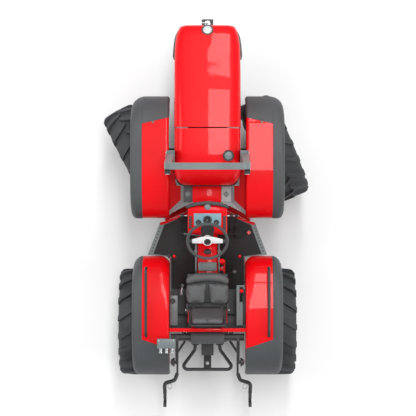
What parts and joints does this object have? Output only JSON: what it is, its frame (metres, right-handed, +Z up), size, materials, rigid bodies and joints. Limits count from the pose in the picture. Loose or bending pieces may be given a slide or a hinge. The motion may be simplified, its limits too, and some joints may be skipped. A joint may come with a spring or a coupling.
{
  "type": "compact tractor",
  "caption": "Narrow equal-wheel orchard tractor with a roll-jointed two-part chassis, fold-down roll bar, open driver's place, covered wheels and a rear three-point linkage.",
  "frame": {"origin": "on the ground under the middle of the machine's bounding box", "axes": "+Z up, front faces -Y, the tractor's left is +X"},
  "size_m": [1.6109, 3.098, 2.097],
  "materials": {
    "battery_case": "matte",
    "black_metal": "satin",
    "cast_iron": "matte",
    "dark_plastic": "satin",
    "gauge_face": "gloss",
    "grey_metal": "satin",
    "red_paint": "gloss",
    "rim_paint": "satin",
    "seat_vinyl": "matte",
    "silver_paint": "satin",
    "steel": "satin",
    "tyre_rubber": "matte"
  },
  "bodies": {
    "rear_chassis": {"gearbox": "cast_iron", "platform": "grey_metal", "dashboard": "red_paint", "gauge_panel": "gauge_face", "console": "red_paint", "seat_base": "black_metal", "rear_fenders": "red_paint", "rear_fender_bands": "dark_plastic", "grab_bars": "black_metal", "side_panels": "grey_metal", "guard_tube": "black_metal", "drawbar": "black_metal"},
    "front_chassis": {"front_frame": "cast_iron", "front_axle": "cast_iron", "engine": "cast_iron", "radiator": "black_metal", "battery": "battery_case", "air_cleaner": "black_metal", "silencer": "black_metal", "fuel_tank": "dark_plastic", "tank_cover": "red_paint", "nose_surround": "dark_plastic", "front_fenders": "red_paint", "front_fender_bands": "dark_plastic", "tunnel_cover": "red_paint", "tow_hook": "black_metal", "roll_bar_posts": "grey_metal"},
    "bonnet": {"bonnet": "red_paint"},
    "roll_bar": {"roll_bar": "grey_metal"},
    "fuel_cap": {"fuel_cap": "dark_plastic"},
    "tow_pin": {"tow_pin": "steel"},
    "fan": {"fan": "dark_plastic"},
    "knuckle_left": {"knuckle_left": "cast_iron"},
    "knuckle_right": {"knuckle_right": "cast_iron"},
    "front_wheel_left": {"front_tyre_left": "tyre_rubber", "front_rim_left": "rim_paint"},
    "front_wheel_right": {"front_tyre_right": "tyre_rubber", "front_rim_right": "rim_paint"},
    "steering_rod": {"steering_rod": "steel"},
    "rear_wheel_left": {"rear_tyre_left": "tyre_rubber", "rear_rim_left": "rim_paint"},
    "rear_wheel_right": {"rear_tyre_right": "tyre_rubber", "rear_rim_right": "rim_paint"},
    "steering_wheel": {"steering_wheel": "dark_plastic"},
    "seat": {"seat_slide": "black_metal", "seat_cushion": "seat_vinyl"},
    "seat_back": {"seat_back": "seat_vinyl"},
    "clutch_pedal": {"clutch_pedal": "black_metal"},
    "brake_pedal_inner": {"brake_pedal_inner": "black_metal"},
    "brake_pedal_outer": {"brake_pedal_outer": "black_metal"},
    "accelerator_pedal": {"accelerator_pedal": "black_metal"},
    "gear_lever": {"gear_lever": "black_metal"},
    "range_lever": {"range_lever": "black_metal"},
    "shuttle_lever": {"shuttle_lever": "black_metal"},
    "hand_brake_lever": {"hand_brake_lever": "silver_paint"},
    "lift_lever": {"lift_lever": "black_metal"},
    "lift_arms": {"lift_arms": "black_metal"},
    "lift_rods": {"lift_rods": "black_metal"},
    "lower_links": {"lower_links": "black_metal"},
    "pto_shaft": {"pto_shaft": "steel"}
  },
  "joints": [
    {"name": "chassis_roll", "type": "hinge", "parent": "rear_chassis", "child": "front_chassis", "pos_m": [0, -0.05, 0.47], "axis": [0, 1, 0], "range_deg": [-8, 8]},
    {"name": "bonnet_hinge", "type": "hinge", "parent": "front_chassis", "child": "bonnet", "pos_m": [0, -0.668, 1.162], "axis": [-1, 0, 0], "range_deg": [0, 50]},
    {"name": "roll_bar_fold", "type": "hinge", "parent": "front_chassis", "child": "roll_bar", "pos_m": [0, -0.425, 1.23], "axis": [-1, 0, 0], "range_deg": [-90, 0]},
    {"name": "fuel_cap_turn", "type": "hinge", "parent": "front_chassis", "child": "fuel_cap", "pos_m": [-0.157, -0.432, 1.2], "axis": [0, 0, 1], "range_deg": [0, 90]},
    {"name": "tow_pin_lift", "type": "slide", "parent": "front_chassis", "child": "tow_pin", "axis": [0, 0, 1], "range_m": [0, 0.08]},
    {"name": "fan_spin", "type": "hinge", "parent": "front_chassis", "child": "fan", "pos_m": [0, -1.18, 0.74], "axis": [0, 1, 0], "continuous": true},
    {"name": "steer_left", "type": "hinge", "parent": "front_chassis", "child": "knuckle_left", "pos_m": [0.455, -0.485, 0.425], "axis": [0, 0, 1], "range_deg": [-51, 0]},
    {"name": "steer_right", "type": "hinge", "parent": "front_chassis", "child": "knuckle_right", "pos_m": [-0.455, -0.485, 0.425], "axis": [0, 0, 1], "range_deg": [-51, 0]},
    {"name": "steering_rod_slide", "type": "slide", "parent": "front_chassis", "child": "steering_rod", "axis": [1, 0, 0], "range_m": [0, 0.118]},
    {"name": "front_left_spin", "type": "hinge", "parent": "knuckle_left", "child": "front_wheel_left", "pos_m": [0.52564, -0.44744, 0.425], "axis": [0.8829, 0.4695, 0], "continuous": true},
    {"name": "front_right_spin", "type": "hinge", "parent": "knuckle_right", "child": "front_wheel_right", "pos_m": [-0.52864, -0.51626, 0.425], "axis": [0.9205, 0.3907, 0], "continuous": true},
    {"name": "rear_left_spin", "type": "hinge", "parent": "rear_chassis", "child": "rear_wheel_left", "pos_m": [0.557, 0.87, 0.425], "axis": [1, 0, 0], "continuous": true},
    {"name": "rear_right_spin", "type": "hinge", "parent": "rear_chassis", "child": "rear_wheel_right", "pos_m": [-0.557, 0.87, 0.425], "axis": [1, 0, 0], "continuous": true},
    {"name": "steering_wheel_turn", "type": "hinge", "parent": "rear_chassis", "child": "steering_wheel", "pos_m": [0, 0.211, 1.15], "axis": [0, 0.4924, 0.8704], "range_deg": [-720, 0]},
    {"name": "seat_travel", "type": "slide", "parent": "rear_chassis", "child": "seat", "axis": [0, 1, 0], "range_m": [-0.02, 0.05]},
    {"name": "seat_back_fold", "type": "hinge", "parent": "seat", "child": "seat_back", "pos_m": [0, 0.752, 0.822], "axis": [1, 0, 0], "range_deg": [0, 45]},
    {"name": "clutch_press", "type": "hinge", "parent": "rear_chassis", "child": "clutch_pedal", "pos_m": [0.196, 0.02, 0.76], "axis": [-1, 0, 0], "range_deg": [0, 22], "stiffness_Nm_per_rad": 30, "springref_deg": -17.19},
    {"name": "brake_inner_press", "type": "hinge", "parent": "rear_chassis", "child": "brake_pedal_inner", "pos_m": [-0.186, 0.02, 0.76], "axis": [-1, 0, 0], "range_deg": [0, 20], "stiffness_Nm_per_rad": 30, "springref_deg": -17.19},
    {"name": "brake_outer_press", "type": "hinge", "parent": "rear_chassis", "child": "brake_pedal_outer", "pos_m": [-0.226, 0.02, 0.76], "axis": [-1, 0, 0], "range_deg": [0, 20], "stiffness_Nm_per_rad": 30, "springref_deg": -17.19},
    {"name": "accelerator_press", "type": "hinge", "parent": "rear_chassis", "child": "accelerator_pedal", "pos_m": [-0.248, 0.196, 0.514], "axis": [1, 0, 0], "range_deg": [0, 9], "stiffness_Nm_per_rad": 5, "springref_deg": -11.46},
    {"name": "gear_shift", "type": "hinge", "parent": "rear_chassis", "child": "gear_lever", "pos_m": [-0.118, 0.4, 0.634], "axis": [1, 0, 0], "range_deg": [-8, 8]},
    {"name": "range_shift", "type": "hinge", "parent": "rear_chassis", "child": "range_lever", "pos_m": [-0.118, 0.48, 0.634], "axis": [1, 0, 0], "range_deg": [-7, 7]},
    {"name": "shuttle_shift", "type": "hinge", "parent": "rear_chassis", "child": "shuttle_lever", "pos_m": [0.05, 0.17161, 1.08037], "axis": [0, 0.4924, 0.8704], "range_deg": [-12, 12]},
    {"name": "hand_brake_pull", "type": "hinge", "parent": "rear_chassis", "child": "hand_brake_lever", "pos_m": [0.208, 0.64, 0.6], "axis": [-1, 0, 0], "range_deg": [0, 25]},
    {"name": "lift_control", "type": "hinge", "parent": "rear_chassis", "child": "lift_lever", "pos_m": [-0.262, 0.64, 0.7], "axis": [1, 0, 0], "range_deg": [-12, 12]},
    {"name": "lift_arm_swing", "type": "hinge", "parent": "rear_chassis", "child": "lift_arms", "pos_m": [0, 0.965, 0.8], "axis": [1, 0, 0], "range_deg": [-10, 28]},
    {"name": "lift_rod_swing", "type": "hinge", "parent": "lift_arms", "child": "lift_rods", "pos_m": [0, 1.16, 0.79], "axis": [1, 0, 0], "range_deg": [-32, 12]},
    {"name": "lower_link_swing", "type": "hinge", "parent": "rear_chassis", "child": "lower_links", "pos_m": [0, 0.985, 0.4], "axis": [1, 0, 0], "range_deg": [-12, 30]},
    {"name": "pto_spin", "type": "hinge", "parent": "rear_chassis", "child": "pto_shaft", "pos_m": [0, 1, 0.56], "axis": [0, 1, 0], "continuous": true}
  ],
  "couplings": [
    {"joint": "steer_right", "follows": "steer_left", "ratio": 1},
    {"joint": "steering_rod_slide", "follows": "steer_left", "m_per_rad": -0.128},
    {"joint": "steering_wheel_turn", "follows": "steer_left", "ratio": 14},
    {"joint": "lower_link_swing", "follows": "lift_arm_swing", "ratio": 0.918},
    {"joint": "lift_rod_swing", "follows": "lift_arm_swing", "ratio": -1.05}
  ]
}
